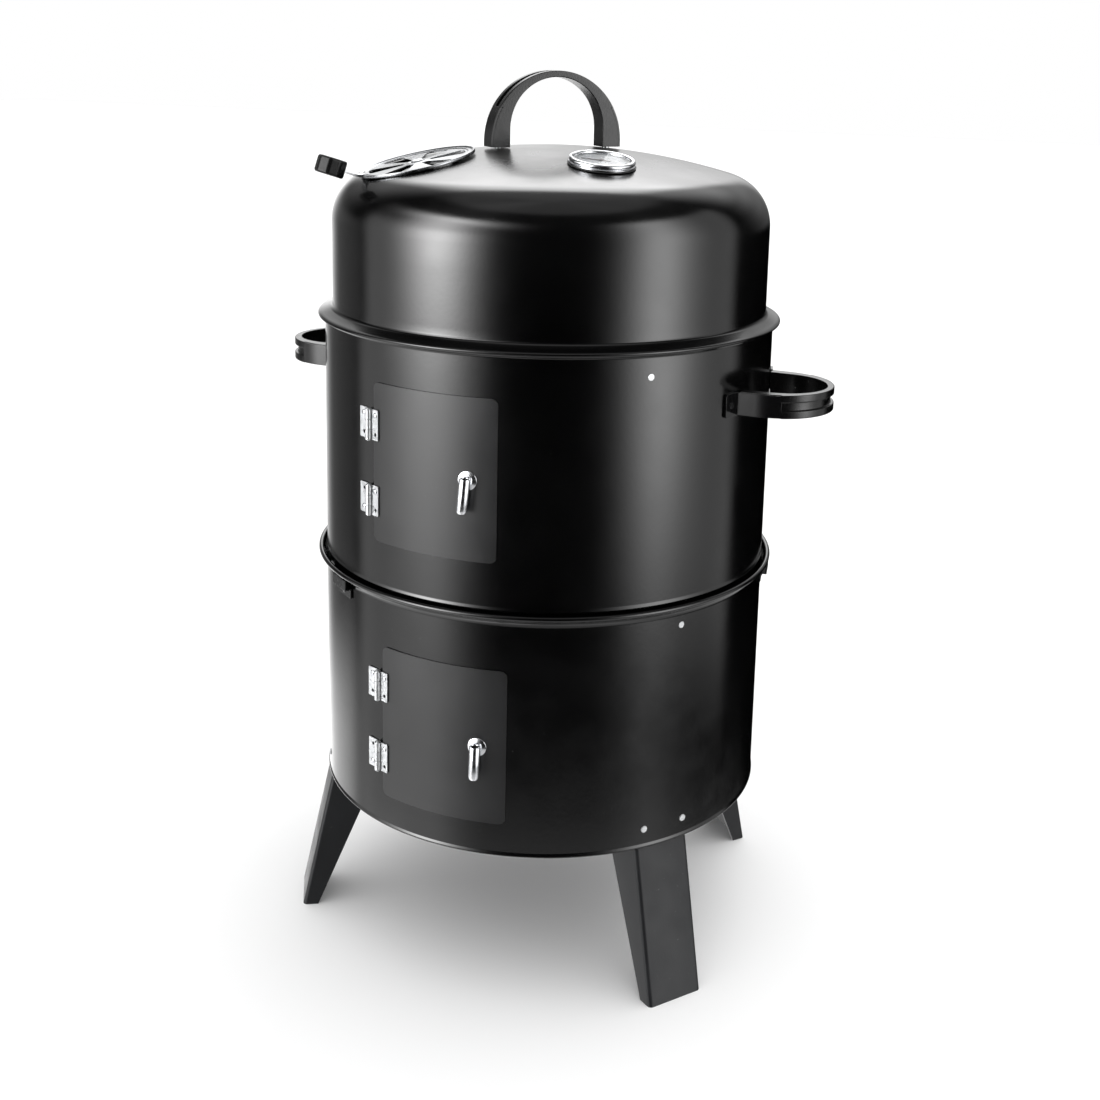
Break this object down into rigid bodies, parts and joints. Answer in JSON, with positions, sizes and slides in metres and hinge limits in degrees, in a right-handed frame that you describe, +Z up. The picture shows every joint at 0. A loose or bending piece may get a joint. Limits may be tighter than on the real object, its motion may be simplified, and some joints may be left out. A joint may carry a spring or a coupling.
{
  "type": "vertical water smoker",
  "caption": "Upright charcoal water smoker with stacked black barrels, a domed lid with damper and thermometer, latched doors, folded legs, water and charcoal pans and wire grates.",
  "frame": {"origin": "centre of the footprint on the floor under the barrel axis", "axes": "+Z up along the barrel axis; -Y out through the middle of the lower door, which is the front; +X to the right of somebody facing the front"},
  "size_m": [0.524, 0.4186, 0.7741],
  "materials": {
    "barrel_enamel": "gloss black enamel on sheet steel",
    "bracket_enamel": "satin black enamel",
    "leg_enamel": "matte black enamel",
    "zinc_steel": "dull zinc plate",
    "bright_screws": "bright zinc plate",
    "hinge_steel": "bright zinc plate",
    "chrome_plate": "polished chrome plate",
    "grip_plastic": "moulded heat-resistant plastic, matte",
    "gasket_rubber": "matte black silicone",
    "dial_face": "satin silver paint",
    "needle_paint": "satin paint",
    "lens_glass": "clear glass",
    "stem_steel": "polished stainless steel",
    "grate_wire": "plated steel wire",
    "pan_enamel": "black porcelain enamel"
  },
  "bodies": {
    "base": {"lower_barrel": "barrel_enamel", "rim_clips": "bracket_enamel", "lower_support_brackets": "zinc_steel", "lower_bracket_screws": "bright_screws", "lower_bracket_nuts": "zinc_steel", "leg_front_left": "leg_enamel", "leg_front_right": "leg_enamel", "leg_rear_left": "leg_enamel", "leg_rear_right": "leg_enamel", "leg_screws": "bright_screws", "leg_nuts": "zinc_steel", "lower_hinge_fixed_leaves": "hinge_steel", "lower_hinge_pins": "zinc_steel", "lower_hinge_rivets": "bright_screws"},
    "lower_door": {"lower_door": "barrel_enamel", "lower_hinge_door_leaves": "hinge_steel", "lower_door_rivets": "bright_screws", "lower_latch_rosette": "chrome_plate"},
    "lower_latch": {"lower_latch_lever": "chrome_plate", "lower_latch_tongue": "zinc_steel", "lower_latch_nut": "zinc_steel"},
    "upper_section": {"upper_barrel": "barrel_enamel", "upper_support_brackets": "zinc_steel", "upper_bracket_screws": "bright_screws", "upper_barrel_nuts": "zinc_steel", "right_handle_grip": "grip_plastic", "left_handle_grip": "grip_plastic", "side_handle_brackets": "bracket_enamel", "side_handle_screws": "zinc_steel", "upper_hinge_fixed_leaves": "hinge_steel", "upper_hinge_pins": "zinc_steel", "upper_hinge_rivets": "bright_screws"},
    "upper_door": {"upper_door": "barrel_enamel", "upper_hinge_door_leaves": "hinge_steel", "upper_door_rivets": "bright_screws", "upper_latch_rosette": "chrome_plate"},
    "upper_latch": {"upper_latch_lever": "chrome_plate", "upper_latch_tongue": "zinc_steel", "upper_latch_nut": "zinc_steel"},
    "lid": {"lid_shell": "barrel_enamel", "lid_handle_grip": "grip_plastic", "lid_handle_brackets": "bracket_enamel", "lid_handle_screws": "zinc_steel", "thermometer_gasket": "gasket_rubber", "thermometer_case": "chrome_plate", "thermometer_dial": "dial_face", "thermometer_lens": "lens_glass", "thermometer_stem": "stem_steel", "thermometer_nut": "zinc_steel", "damper_rivet": "chrome_plate"},
    "needle": {"thermometer_needle": "needle_paint"},
    "damper": {"damper_disc": "chrome_plate", "damper_knob": "grip_plastic"},
    "top_grate": {"top_grate": "grate_wire"},
    "middle_grate": {"middle_grate": "grate_wire"},
    "water_pan": {"water_pan": "pan_enamel"},
    "charcoal_pan": {"charcoal_pan": "pan_enamel"},
    "charcoal_grate": {"charcoal_grate": "grate_wire"}
  },
  "joints": [
    {"name": "upper_section_lift", "type": "slide", "parent": "base", "child": "upper_section", "axis": [0, 0, 1], "range_m": [0, 0.25]},
    {"name": "lid_lift", "type": "slide", "parent": "upper_section", "child": "lid", "axis": [0, 0, 1], "range_m": [0, 0.25]},
    {"name": "lower_door_swing", "type": "hinge", "parent": "base", "child": "lower_door", "pos_m": [-0.0633, -0.19309, 0.229], "axis": [0, 0, -1], "range_deg": [0, 120]},
    {"name": "upper_door_swing", "type": "hinge", "parent": "upper_section", "child": "upper_door", "pos_m": [-0.07332, -0.18951, 0.455], "axis": [0, 0, -1], "range_deg": [0, 120]},
    {"name": "lower_latch_turn", "type": "hinge", "parent": "lower_door", "child": "lower_latch", "pos_m": [0.0356, -0.20189, 0.23], "axis": [0.1736, -0.9848, 0], "range_deg": [0, 90]},
    {"name": "upper_latch_turn", "type": "hinge", "parent": "upper_door", "child": "upper_latch", "pos_m": [0.02498, -0.20347, 0.456], "axis": [0.1219, -0.9925, 0], "range_deg": [0, 90]},
    {"name": "damper_turn", "type": "hinge", "parent": "lid", "child": "damper", "pos_m": [-0.08345, -0.09268, 0.69453], "axis": [-0.1566, -0.1739, 0.9722], "range_deg": [-14, 16]},
    {"name": "thermometer_needle_turn", "type": "hinge", "parent": "lid", "child": "needle", "pos_m": [0.07729, -0.06959, 0.69986], "axis": [0.131, -0.1179, 0.9843], "range_deg": [-240, 0]},
    {"name": "top_grate_lift", "type": "slide", "parent": "upper_section", "child": "top_grate", "axis": [0, 0, 1], "range_m": [0, 0.08]},
    {"name": "water_pan_lift", "type": "slide", "parent": "base", "child": "water_pan", "axis": [0, 0, 1], "range_m": [0, 0.08]},
    {"name": "middle_grate_lift", "type": "slide", "parent": "water_pan", "child": "middle_grate", "axis": [0, 0, 1], "range_m": [0, 0.08]},
    {"name": "charcoal_pan_lift", "type": "slide", "parent": "base", "child": "charcoal_pan", "axis": [0, 0, 1], "range_m": [0, 0.03]},
    {"name": "charcoal_grate_lift", "type": "slide", "parent": "charcoal_pan", "child": "charcoal_grate", "axis": [0, 0, 1], "range_m": [0, 0.03]}
  ]
}
